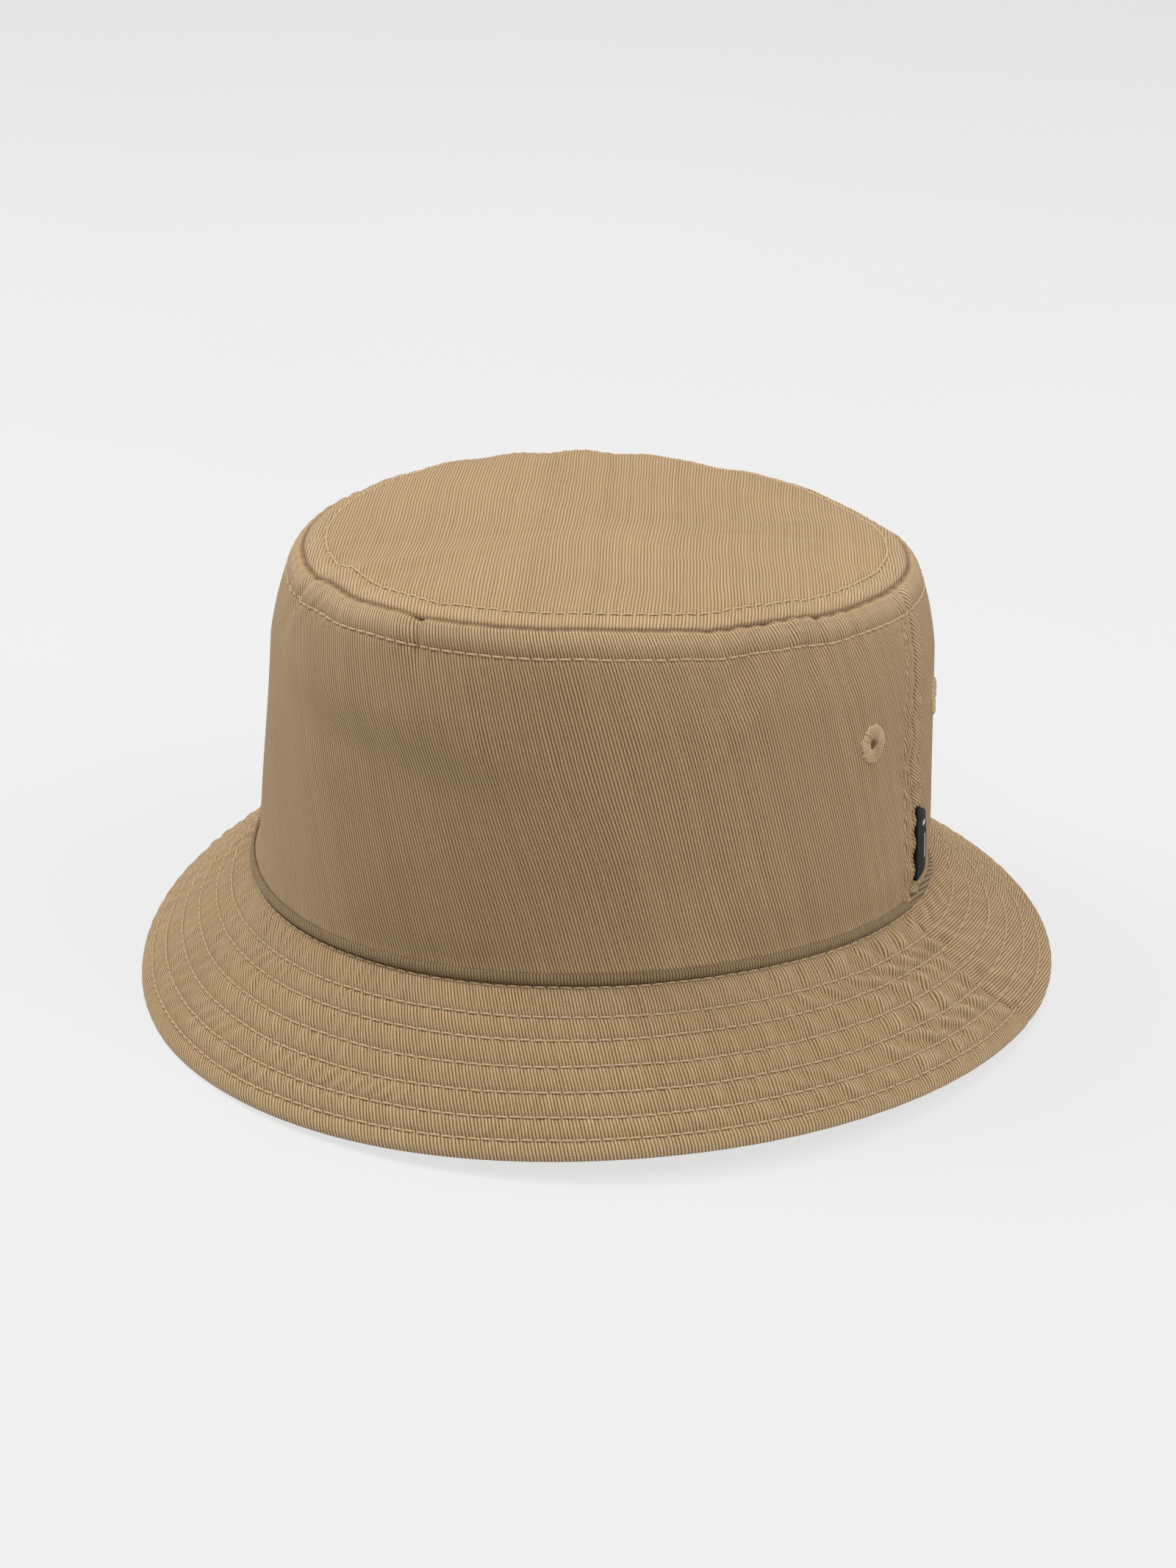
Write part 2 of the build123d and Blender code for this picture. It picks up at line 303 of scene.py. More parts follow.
def brim_relief(angle, share):
    """How far the brim stands up from its plain shape."""
    out = share * BRIM_WIDTH
    turned = wrapped(angle)
    side = (np.abs(turned) - math.pi / 2) * (WALL_RADIUS + BRIM_SPREAD * share)
    d = 0.6 * round_noise(angle, out / 40 + 1, 12, 41) * share
    row_places = np.array(BRIM_ROWS) * BRIM_WIDTH
    between = np.ones_like(out)
    for place in row_places:
        d -= 0.34 * hump(out, place, 0.7)
        between -= 0.7 * hump(out, place, 0.9)
    for low, high in zip(row_places, np.append(row_places[1:], BRIM_WIDTH)):
        d += 0.26 * hump(out, (low + high) / 2, (high - low) * 0.32)
    d += brim_puckers(angle, share) * between
    d -= 0.6 * hump(side, 0, 1.0) * np.clip(out / 3, 0, 1)
    d += 0.30 * (hump(side, -3.0, 1.8) + hump(side, 3.0, 1.8))
    d += 0.35 * puckers(out, side, 49, 6.5) * np.exp(-((side / 10) ** 2))
    d -= 0.9 * hump(out, -1.0, 1.5)
    return d


def brim_puckers(angle, share):
    """Slanting ripples between the rows, rope-like by the temples and faint in front."""
    out = share * BRIM_WIDTH
    turned = wrapped(angle)
    right_temple = hump(turned, -1.25, 0.60)
    left_temple = hump(turned, 1.55, 0.75)
    ropes = 0.62 * right_temple * round_puckers(angle, out, 44, 104, 0.35, 0.085)
    quilts = 0.80 * left_temple * round_puckers(angle, out, 45, 72, 0.8, -0.06)
    back = 0.40 * hump(np.abs(turned), math.pi, 0.9) * round_puckers(angle, out, 46, 84)
    fine = 0.36 * round_puckers(angle, out, 47, 150)
    flat_edge = np.clip((BRIM_WIDTH - out) / 6, 0.12, 1)
    return (ropes + quilts + back + fine) * np.clip(out / 4, 0, 1) * flat_edge


def brim(angle, share):
    """The finished top of the brim."""
    return relieved(plain_brim, brim_relief, angle, share)


# ------------------------------------------------------------------------ shared geometry


def normals(surface, angle, share, step=2e-3):
    """Unit normals of a surface, outwards on the wall and upwards on the tip and brim.

    The lower sample stops at share 0, so further below 0 than one step the normals tip over.
    """
    du = surface(angle + step, share) - surface(angle - step, share)
    lower = np.clip(share - step, 0, None)
    dv = surface(angle, share + step) - surface(angle, lower)
    n = np.cross(du, dv)
    if surface in (plain_tip, tip, plain_brim, brim):
        n = -n
    return n / np.maximum(np.linalg.norm(n, axis=-1, keepdims=True), 1e-12)


def relieved(plain, relief, angle, share):
    """A plain surface with its relief."""
    angle, share = np.broadcast_arrays(angle, share)
    d = relief(angle, share)
    return plain(angle, share) + normals(plain, angle, share) * d[..., None]


def grid(low, high, columns, shares):
    """Angles and shares of a grid, rows across and columns round the hat."""
    angle = np.linspace(low, high, columns)
    return np.meshgrid(angle, np.asarray(shares))


def make_object(name, points, faces, uvs=None, wear_and_shade=None):
    """A smooth mesh object from points in millimetres."""
    mesh = bpy.data.meshes.new(name)
    mesh.from_pydata((np.asarray(points) * MM).tolist(), [], faces)
    mesh.polygons.foreach_set("use_smooth", [True] * len(mesh.polygons))
    if uvs is not None:
        layer = mesh.uv_layers.new(name="cloth")
        corners = np.empty(len(mesh.loops), dtype=np.int32)
        mesh.loops.foreach_get("vertex_index", corners)
        layer.data.foreach_set("uv", (np.asarray(uvs)[corners] * MM).ravel())
    # the attribute carries rubbed wear above 0 and painted shade in seams and creases below 0
    if wear_and_shade is not None:
        layer = mesh.attributes.new("wear_and_shade", "FLOAT", "POINT")
        layer.data.foreach_set("value", np.asarray(wear_and_shade, dtype=np.float32))
    mesh.update()
    piece = bpy.data.objects.new(name, mesh)
    bpy.context.collection.objects.link(piece)
    return piece


def grid_faces(rows, columns, closed, keep=None):
    """Quads of a grid of points, as rows of point numbers."""
    across = columns if closed else columns - 1
    i, j = np.meshgrid(np.arange(rows - 1), np.arange(across), indexing="ij")
    k = (j + 1) % columns
    quads = np.stack([i * columns + j, i * columns + k,
                      (i + 1) * columns + k, (i + 1) * columns + j], axis=-1)
    return quads.reshape(-1, 4) if keep is None else quads[keep[:, :across]]


def two_sided(quads, count):
    """Faces of a closed layer. The points of its second side are numbered from count on."""
    edges = {}
    for a, b in ((0, 1), (1, 2), (2, 3), (3, 0)):
        for p, q in zip(quads[:, a].tolist(), quads[:, b].tolist()):
            edges[(p, q)] = True
    rim = [[q, p, p + count, q + count] for p, q in edges if (q, p) not in edges]
    return quads.tolist() + (quads[:, ::-1] + count).tolist() + rim


def cloth_layer(name, surface, angle, share, uv, top=0.0, thick=TWILL, closed=False,
                keep=None, edge_wear_and_shade=None, flip=False):
    """A closed layer of cloth between two distances outside a surface."""
    if closed:
        angle, share, uv = angle[:, :-1], share[:, :-1], uv[:, :-1]
    middle = surface(angle, share)
    n = normals(surface, angle, share)
    rows, columns = angle.shape
    upper = (middle + n * np.broadcast_to(top, angle.shape)[..., None]).reshape(-1, 3)
    under = top - np.broadcast_to(thick, angle.shape)
    lower = (middle + n * under[..., None]).reshape(-1, 3)
    quads = grid_faces(rows, columns, closed, keep)
    if flip:
        quads = quads[:, ::-1]
    count = rows * columns
    faces = two_sided(quads, count)
    used = np.unique(np.array([i for f in faces for i in f]))
    renumber = np.zeros(2 * count, dtype=int)
    renumber[used] = np.arange(len(used))
    faces = [[int(renumber[i]) for i in f] for f in faces]
    uvs = np.concatenate([uv.reshape(-1, 2)] * 2)[used]
    # rubbed wear above 0 and painted seam shade below 0; the lower side gets 0.4 of it
    worn_and_shaded = np.zeros(angle.shape) if edge_wear_and_shade is None else edge_wear_and_shade
    worn_and_shaded = np.concatenate([worn_and_shaded.ravel(), 0.4 * worn_and_shaded.ravel()])[used]
    points = np.concatenate([upper, lower])[used]
    return make_object(name, points, faces, uvs, worn_and_shaded)


def turned_uv(across, along, degrees):
    """Cloth coordinates whose second axis runs along the twill's ribs."""
    a = math.radians(degrees)
    return np.stack([across * math.sin(a) - along * math.cos(a),
                     across * math.cos(a) + along * math.sin(a)], axis=-1)


# ------------------------------------------------------------------------ materials


class Nodes:
    """A material's node tree, with short ways to add what the cloths need."""

    def __init__(self, name):
        self.material = bpy.data.materials.new(name)
        self.material.use_nodes = True
        self.tree = self.material.node_tree
        self.shader = self.tree.nodes["Principled BSDF"]

    def link(self, a, b):
        self.tree.links.new(a, b)

    def math(self, kind, a, b=None, c=None):
        n = self.tree.nodes.new("ShaderNodeMath")
        n.operation = kind
        for socket, value in zip(n.inputs, (a, b, c)):
            if isinstance(value, (int, float)):
                socket.default_value = value
            elif value is not None:
                self.link(value, socket)
        return n.outputs[0]

    def cloth_uv(self):
        """The cloth coordinates in millimetres, as a vector, across and along the ribs."""
        uv = self.tree.nodes.new("ShaderNodeUVMap")
        uv.uv_map = "cloth"
        scaled = self.tree.nodes.new("ShaderNodeVectorMath")
        scaled.operation = "SCALE"
        scaled.inputs["Scale"].default_value = 1 / MM
        self.link(uv.outputs[0], scaled.inputs[0])
        parts = self.tree.nodes.new("ShaderNodeSeparateXYZ")
        self.link(scaled.outputs[0], parts.inputs[0])
        return scaled.outputs[0], parts.outputs[0], parts.outputs[1]

    def noise(self, vector, scale, detail=2.0, stretch=(1, 1, 1)):
        mapped = self.tree.nodes.new("ShaderNodeMapping")
        mapped.inputs["Scale"].default_value = stretch
        self.link(vector, mapped.inputs["Vector"])
        n = self.tree.nodes.new("ShaderNodeTexNoise")
        n.inputs["Scale"].default_value = scale
        n.inputs["Detail"].default_value = detail
        self.link(mapped.outputs[0], n.inputs["Vector"])
        return n.outputs["Fac"]

    def ramp(self, value, *stops):
        n = self.tree.nodes.new("ShaderNodeValToRGB")
        elements = n.color_ramp.elements
        while len(elements) < len(stops):
            elements.new(0.5)
        for element, (place, colour) in zip(elements, stops):
            element.position = place
            element.color = (*colour, 1)
        self.link(value, n.inputs[0])
        return n.outputs[0]

    def mix(self, share, a, b, kind="MIX"):
        n = self.tree.nodes.new("ShaderNodeMix")
        n.data_type = "RGBA"
        n.blend_type = kind
        # a colour mix has its share in input 0 and its two colours in inputs 6 and 7
        for socket, value in ((n.inputs[0], share), (n.inputs[6], a), (n.inputs[7], b)):
            if isinstance(value, (int, float)):
                socket.default_value = value
            elif isinstance(value, tuple):
                socket.default_value = (*value, 1)
            else:
                self.link(value, socket)
        return n.outputs[2]

    def bump(self, height, distance, strength):
        n = self.tree.nodes.new("ShaderNodeBump")
        n.inputs["Strength"].default_value = strength
        n.inputs["Distance"].default_value = distance * MM
        self.link(height, n.inputs["Height"])
        return n.outputs[0]

    def surface(self, colour, roughness, normal=None, sheen=0.0, sheen_tint=(1, 1, 1)):
        self.link(colour, self.shader.inputs["Base Color"])
        self.shader.inputs["Roughness"].default_value = roughness
        if normal is not None:
            self.link(normal, self.shader.inputs["Normal"])
        self.shader.inputs["Sheen Weight"].default_value = sheen
        self.shader.inputs["Sheen Roughness"].default_value = 0.6
        self.shader.inputs["Sheen Tint"].default_value = (*sheen_tint, 1)
        self.shader.inputs["Specular IOR Level"].default_value = 0.18
        return self.material


RIB_PITCH = 0.79           # millimetres
FLOAT_LENGTH = 0.62        # of one yarn's pass over the others, along a rib
TAN_RIB = (0.475, 0.335, 0.182)
TAN_MIDDLE = (0.315, 0.203, 0.099)
TAN_GROOVE = (0.11, 0.058, 0.022)
RUBBED_TAN = (0.66, 0.50, 0.32)
# colour of the painted shade down in the seams, creases and stitch ditches
CREASE_SHADE_TAN = (0.13, 0.075, 0.035)


def twill_material(name, tone=1.0, spread=0.23):
    """Garment-washed cotton twill: pale ribs, brown grooves, uneven dye, rubbed seams and painted
    shade down in the seams.

    Tone darkens the cloth. The larger the spread, the softer the ribs' contrast.
    """
    m = Nodes(name)
    uv, across, along = m.cloth_uv()
    warp = m.noise(uv, 0.022, 0.5)
    fine_warp = m.noise(uv, 0.16, 1.0, stretch=(1, 0.35, 1))
    bend = m.math("MULTIPLY", m.math("SUBTRACT", warp, 0.5), 2.6)
    jitter = m.math("MULTIPLY", m.math("SUBTRACT", fine_warp, 0.5), 0.5)
    bent = m.math("ADD", m.math("ADD", across, bend), jitter)
    turns = m.math("MULTIPLY", bent, 1 / RIB_PITCH)
    wave = m.math("SINE", m.math("MULTIPLY", turns, TURN))
    rib = m.math("POWER", m.math("MULTIPLY_ADD", wave, 0.5, 0.5), 0.6)
    rib_number = m.math("FLOOR", m.math("ADD", turns, 0.25))
    yarn = m.tree.nodes.new("ShaderNodeTexWhiteNoise")
    yarn.noise_dimensions = "1D"
    m.link(rib_number, yarn.inputs["W"])
    floats = m.math("MULTIPLY_ADD", along, 1 / FLOAT_LENGTH, m.math("MULTIPLY", rib_number, 0.37))
    float_wave = m.math("SINE", m.math("MULTIPLY", floats, TURN))
    beads = m.math("MULTIPLY_ADD", float_wave, 0.09, 0.91)
    fuzz = m.noise(uv, 3.2, 3.0)
    height = m.math("MULTIPLY", rib, beads)
    height = m.math("ADD", m.math("MULTIPLY", height, 0.85), m.math("MULTIPLY", fuzz, 0.75))
    lightness = m.math("MULTIPLY_ADD", yarn.outputs["Value"], 0.07,
                       m.math("MULTIPLY", height, 0.76))
    colour = m.ramp(lightness, (0.58 - spread, TAN_GROOVE), (0.58, TAN_MIDDLE),
                    (0.58 + 1.25 * spread, TAN_RIB))
    patches = m.ramp(m.noise(uv, 0.022, 4.0), (0.25, (0.80, 0.78, 0.76)), (0.75, (1, 1, 1)))
    colour = m.mix(0.55, colour, patches, "MULTIPLY")
    wear_and_shade = m.tree.nodes.new("ShaderNodeAttribute")
    wear_and_shade.attribute_name = "wear_and_shade"
    rubbed = m.math("MULTIPLY", m.math("MAXIMUM", wear_and_shade.outputs["Fac"], 0.0), rib)
    # below 0 the mesh attribute is painted shade, mixed towards dark brown in seams, creases and
    # stitch ditches; above 0 it is rubbed wear on the ribs
    painted_crease_shade = m.math("MAXIMUM", m.math("MULTIPLY", wear_and_shade.outputs["Fac"], -1.0), 0.0)
    colour = m.mix(rubbed, colour, RUBBED_TAN)
    colour = m.mix(m.math("MULTIPLY", painted_crease_shade, 0.8), colour, CREASE_SHADE_TAN)
    if tone != 1.0:
        colour = m.mix(1.0, colour, (tone, tone, tone), "MULTIPLY")
    normal = m.bump(height, 0.16, 0.9)
    return m.surface(colour, 0.92, normal, sheen=0.12, sheen_tint=(0.95, 0.85, 0.72))


def plain_weave_material(name, light, dark, pitch=0.42):
    """Plain woven cotton: two crossing sets of yarns."""
    m = Nodes(name)
    uv, across, along = m.cloth_uv()
    warp = m.math("SINE", m.math("MULTIPLY", across, TURN / pitch))
    weft = m.math("SINE", m.math("MULTIPLY", along, TURN / pitch))
    weave = m.math("MULTIPLY_ADD", m.math("MULTIPLY", warp, weft), 0.5, 0.5)
    slub = m.noise(uv, 0.9, 3.0, stretch=(1, 0.15, 1))
    height = m.math("MULTIPLY_ADD", slub, 0.6, weave)
    colour = m.ramp(m.math("MULTIPLY", height, 0.65), (0.1, dark), (0.9, light))
    patches = m.ramp(m.noise(uv, 0.03, 3.0), (0.3, (0.82, 0.80, 0.78)), (0.7, (1, 1, 1)))
    colour = m.mix(0.4, colour, patches, "MULTIPLY")
    return m.surface(colour, 0.9, m.bump(height, 0.06, 0.8), sheen=0.1)


def thread_material(name, light, dark):
    """Two-ply thread: a slanting twist along its length."""
    m = Nodes(name)
    uv, along, around = m.cloth_uv()
    lay = m.math("ADD", m.math("MULTIPLY", along, 1 / 0.5), m.math("MULTIPLY", around, 1 / 0.66))
    twist = m.math("MULTIPLY_ADD", m.math("SINE", m.math("MULTIPLY", lay, TURN)), 0.5, 0.5)
    fibres = m.noise(uv, 3.0, 2.0)
    shade = m.math("MULTIPLY_ADD", fibres, 0.4, m.math("MULTIPLY", twist, 0.7))
    colour = m.ramp(shade, (0.1, dark), (0.8, light))
    return m.surface(colour, 0.6, m.bump(twist, 0.05, 0.8), sheen=0.1)


def label_material(name):
    """Black woven ribbon with two plain pale bars, no lettering."""
    m = Nodes(name)
    uv, across, up = m.cloth_uv()
    weave = m.math("MULTIPLY_ADD", m.math("SINE", m.math("MULTIPLY", up, TURN / 0.22)), 0.5, 0.5)
    slub = m.noise(uv, 1.5, 2.0)

    def within(value, low, high):
        above = m.math("GREATER_THAN", value, low)
        return m.math("MULTIPLY", above, m.math("LESS_THAN", value, high))

    tall_bar = m.math("MULTIPLY", within(across, 6.0, 7.0), within(up, 4.2, 10.8))
    short_bar = m.math("MULTIPLY", within(across, 4.2, 6.9), within(up, 13.6, 14.8))
    bars = m.math("MAXIMUM", tall_bar, short_bar)
    black = m.ramp(m.math("MULTIPLY_ADD", slub, 0.5, m.math("MULTIPLY", weave, 0.5)),
                   (0.0, (0.003, 0.003, 0.004)), (1.0, (0.014, 0.0135, 0.015)))
    colour = m.mix(bars, black, (0.62, 0.61, 0.58))
    return m.surface(colour, 0.7, m.bump(weave, 0.04, 0.7))


def floor_material():
    """A pale floor that shines a little, so that it stays as bright as the background."""
    m = Nodes("pale_floor")
    coords = m.tree.nodes.new("ShaderNodeTexCoord")
    grain = m.noise(coords.outputs["Object"], 3.0, 2.0)
    colour = m.ramp(grain, (0.3, (0.095, 0.095, 0.095)), (0.7, (0.105, 0.105, 0.105)))
    m.shader.inputs["Emission Color"].default_value = (1, 1, 1, 1)
    m.shader.inputs["Emission Strength"].default_value = 0.705
    return m.surface(colour, 0.9)


twill = twill_material("washed_twill")
# the tip's twill is darkened to 0.94 as painted shade on the top of the hat; its ribs are softer
tip_twill_shaded = twill_material("washed_twill_tip_shaded", 0.94, 0.34)
# the under brim's twill is darkened to 0.62 as painted shade on the side that faces the floor
under_shade_twill = twill_material("washed_twill_under_shade", 0.62)
sewing_thread = thread_material("sewing_thread", (0.58, 0.43, 0.26), (0.30, 0.195, 0.10))
tape_weave = plain_weave_material("cotton_tape", (0.40, 0.28, 0.165), (0.22, 0.145, 0.08))
band_weave = plain_weave_material("sweatband_cotton", (0.42, 0.30, 0.18), (0.25, 0.165, 0.09))
stiffener_weave = plain_weave_material("stiffener", (0.75, 0.72, 0.66), (0.55, 0.52, 0.46), 0.6)
white_weave = plain_weave_material("white_label", (0.82, 0.81, 0.78), (0.60, 0.58, 0.55), 0.3)
black_label = label_material("black_label")


def finish_piece(piece, material, node, body="root"):
    """Give a piece its material and slot, the body it rides and the CAD node it replaces."""
    piece.data.materials.append(material)
    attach(piece, body)
    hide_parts(node)


# ------------------------------------------------------------------------ crown panels

EYELET_OUTER = 5.3
EYELET_HOLE = 1.6
EYELET_CUT = 2.6           # radius of the hole in the cloth, under the thread
EYELET_SHARE = 0.592       # height up the wall
# eyelet centres: angle in degrees round the hat
EYELETS = {"front_left": 77.2, "back_left": 107.5, "front_right": -76.5, "back_right": -105.5}

PANEL_CURVE = 0.06         # a panel's turn in its flat pattern over its turn on the hat
FLAT_RADIUS = 90.0         # radius of the hat where the cloth is laid flat from


def wall_uv(angle, share, centre, rib_degrees):
    """Flat coordinates on a panel cut along a gentle curve."""
    radius = FLAT_RADIUS / PANEL_CURVE
    flat_angle = (angle - centre) * PANEL_CURVE
    reach = radius - share * WALL_HEIGHT
    return turned_uv(reach * np.sin(flat_angle), -reach * np.cos(flat_angle) + radius,
                     rib_degrees)


def far_from_eyelets(angle, share):
    """Which points of the wall lie outside the eyelets' holes."""
    keep = np.ones(angle.shape, dtype=bool)
    here = plain_wall(angle, share)
    for degrees in EYELETS.values():
        centre = plain_wall(np.array(math.radians(degrees)), np.array(EYELET_SHARE))
        keep &= np.linalg.norm(here - centre, axis=-1) > EYELET_CUT
    return keep


def wall_wear_and_shade(angle, share):
    """Rubbed wear, paler along the seams' raised edges, and painted shade, darker down in the
    seams.
    """
    down = (1 - share) * WALL_HEIGHT
    up = share * WALL_HEIGHT
    side = from_side_seam(angle, share)
    rubbed = 0.30 * hump(down, 2.2, 1.6) + 0.22 * (hump(side, 1.8, 1.2) + hump(side, -1.8, 1.2))
    # painted shade down in the tip seam, the side seams and the crease at the brim seam
    dark = 0.9 * hump(down, 0, 0.35) + 0.4 * hump(side, 0, 0.5) + 0.6 * hump(up, -0.7, 0.5)
    ripple = round_puckers(angle, down, 21, 96)
    rubbed = rubbed + 0.12 * np.clip(ripple, 0, 1) * np.exp(-((down / 8) ** 2))
    return rubbed - dark


def wall_shares():
    """Rows of points up the wall, closest together at its two ends."""
    low = np.linspace(-0.012, 0.06, 10)
    middle = np.linspace(0.06, 0.84, 52)[1:]
    high = np.linspace(0.84, 0.9, 8)[1:]
    top = 0.9 + 0.1 * np.sin(np.linspace(0, math.pi / 2, 34))[1:]
    return np.concatenate([low, middle, high, top])


def half_grid(half, shares, columns, seam_angle):
    """Angles and shares of a grid whose two ends follow the side seams."""
    left = np.array([seam_angle(s, 1) for s in shares])
    right = np.array([seam_angle(s, -1) for s in shares])
    low, high = (right, left) if half == "front" else (left, right + TURN)
    angle = low[:, None] + (high - low)[:, None] * np.linspace(0, 1, columns)[None, :]
    return angle, np.broadcast_to(shares[:, None], angle.shape)


def crown_panel(half):
    angle, share = half_grid(half, wall_shares(), PANEL_COLUMNS, side_seam_angle)
    uv = wall_uv(angle, share, MIDDLE[half], WALL_RIBS[half])
    keep = far_from_eyelets(angle, share)[:-1, :-1]
    piece = cloth_layer(f"crown_panel_{half}_cloth", wall, angle, share, uv, keep=keep,
                        edge_wear_and_shade=wall_wear_and_shade(angle, share))
    finish_piece(piece, twill, f"crown_panel_{half}")


# ------------------------------------------------------------------------ tip panel


def tip_shares():
    """Rings of points from the middle of the tip, closest together at its seam."""
    rim = 1 - 0.11 * (1 - np.cos(np.linspace(0, math.pi / 2, 30)))[::-1]
    middle = np.linspace(0.012, rim[0], 62)[:-1]
    return np.concatenate([middle, rim])


def tip_uv(angle, share):
    p = plain_tip(angle, share)
    return turned_uv(p[..., 0], p[..., 1], TIP_RIBS)


def tip_wear_and_shade(angle, share):
    """Rubbed wear, paler beside the seam, and painted shade, darker down in it."""
    inward = (1 - share) * TIP_RADIUS
    ripple = round_puckers(angle, inward, 34, 88)
    # painted shade down in the tip seam
    worn_and_shaded = 0.2 * hump(inward, 2.4, 1.8) - 0.9 * hump(inward, 0, 0.35)
    return worn_and_shaded + 0.12 * np.clip(ripple, 0, 1) * np.exp(-((inward / 8) ** 2))


def round_layer(name, surface, shares, columns, uv_of, top, thick, wear_and_shade_of=None):
    """A closed ring of cloth all the way round the hat."""
    angle, share = grid(-math.pi, math.pi, columns + 1, shares)
    wear_and_shade = None if wear_and_shade_of is None else wear_and_shade_of(angle, share)[:, :-1]
    return cloth_layer(name, surface, angle, share, uv_of(angle, share), top, thick,
                       closed=True, edge_wear_and_shade=wear_and_shade, flip=surface is not wall)


def tip_panel():
    piece = round_layer("tip_panel_cloth", tip, tip_shares(), TIP_COLUMNS, tip_uv, 0.0, TWILL,
                        tip_wear_and_shade)
    fill_middle(piece)
    finish_piece(piece, tip_twill_shaded, "tip_panel")


def fill_middle(piece):
    """Close the small round hole that the rings of points leave in the middle."""
    b = bmesh.new()
    b.from_mesh(piece.data)
    reach = 3 * MM
    centre = Vector(TIP_SEAM["centre"]) * MM
    walls = [f for f in b.faces if abs(f.normal.z) < 0.5
             and all((v.co.xy - centre).length < reach for v in f.verts)]
    bmesh.ops.delete(b, geom=walls, context="FACES_ONLY")
    edges = [e for e in b.edges if e.is_boundary]
    bmesh.ops.holes_fill(b, edges=edges, sides=0)
    b.to_mesh(piece.data)
    b.free()


# ------------------------------------------------------------------------ brim layers

FLAT_TURN = 0.55           # the brim's turn in its flat pattern over its turn on the hat
BRIM_SEAM_RADIUS = 93.0


def brim_uv(angle, share, centre, rib_degrees):
    """Flat coordinates on a half ring, unrolled from the cone."""
    flat_angle = (angle - centre) * FLAT_TURN
    reach = BRIM_SEAM_RADIUS / FLAT_TURN + share * BRIM_WIDTH
    return turned_uv(reach * np.sin(flat_angle), -reach * np.cos(flat_angle), rib_degrees)


def brim_seam_angle(share, side):
    """The brim's side seams bow a little towards the front on the wearer's left."""
    if side > 0:
        return math.pi / 2 - 0.055 * np.sin(math.pi * np.clip(share, 0, 1))
    return -math.pi / 2


def brim_wear_and_shade(angle, share):
    """Rubbed wear, paler on the ripples and the edge, and painted shade, darker along the
    stitching and the seam.
    """
    out = share * BRIM_WIDTH
    rows = np.array(BRIM_ROWS) * BRIM_WIDTH
    # painted shade along the stitching rows here, and at the brim seam below
    dark = sum(0.12 * hump(out, place, 0.7) for place in rows)
    rubbed = 0.5 * np.clip(brim_puckers(angle, share), 0, 1) + 0.38 * hump(out, BRIM_WIDTH, 1.6)
    return rubbed - dark - 0.5 * hump(out, 0, 0.6)


def brim_piece(kind, half, top, thick, low, high, material, edge_roll=0.0):
    """One layer of half the brim, from share low to share high, its edge rolled down."""
    angle, share = half_grid(half, np.linspace(low, high, 120), BRIM_COLUMNS, brim_seam_angle)
    uv = brim_uv(angle, share, MIDDLE[half], BRIM_RIBS[half])
    to_edge = (high - share) * BRIM_WIDTH
    roll = edge_roll * np.clip(1 - to_edge / 1.6, 0, 1) ** 2
    piece = cloth_layer(f"{kind}_{half}_cloth", brim, angle, share, uv, top - roll, thick,
                        edge_wear_and_shade=brim_wear_and_shade(angle, share), flip=True)
    finish_piece(piece, material, f"{kind}_{half}")
    return piece


def brim_half(half):
    """Upper cloth, stiffener and under cloth."""
    upper = brim_piece("brim_upper", half, 0.0, TWILL, -0.03, 1.0, twill, 0.75)
    middle = brim_piece("brim_interlining", half, -TWILL, STIFFENER, -0.03, 0.955,
                        stiffener_weave)
    under = brim_piece("brim_under", half, -TWILL - STIFFENER, TWILL, -0.04, 0.99,
                       under_shade_twill)


# ------------------------------------------------------------------------ stitches


# one stitch from end to end: place along it, height over the cloth, share of the thread
STITCH_PLACES = np.array([0.03, 0.14, 0.38, 0.62, 0.86, 0.97])
STITCH_RISE = np.array([-0.20, 0.12, 0.25, 0.25, 0.12, -0.20])
STITCH_BODY = np.array([0.55, 0.92, 1.0, 1.0, 0.92, 0.55])
THREAD_SIDES = 7
ROW_WANDER = 0.25


def stitch_rings(centre, up, drift):
    """Rings of points round the thread of one stitch."""
    forward = centre[-1] - centre[0]
    forward /= np.linalg.norm(forward)
    across = np.cross(forward, up)
    across /= np.linalg.norm(across, axis=1, keepdims=True)
    centre = centre + up * STITCH_RISE[:, None] + across * drift
    turn = np.arange(THREAD_SIDES) * TURN / THREAD_SIDES
    radius = (STITCH_BODY * THREAD / 2)[:, None, None]
    return (centre[:, None, :] + across[:, None, :] * (np.cos(turn)[None, :, None] * radius)
            + up[:, None, :] * (np.sin(turn)[None, :, None] * radius))


def stitch_faces(start):
    """The sides and two ends of one stitch, whose points are numbered from start on."""
    rings = len(STITCH_PLACES)
    sides = grid_faces(rings, THREAD_SIDES, True)[:, ::-1] + start
    last = start + (rings - 1) * THREAD_SIDES
    return sides.tolist() + [[start + k for k in range(THREAD_SIDES)],
                             [last + k for k in reversed(range(THREAD_SIDES))]]


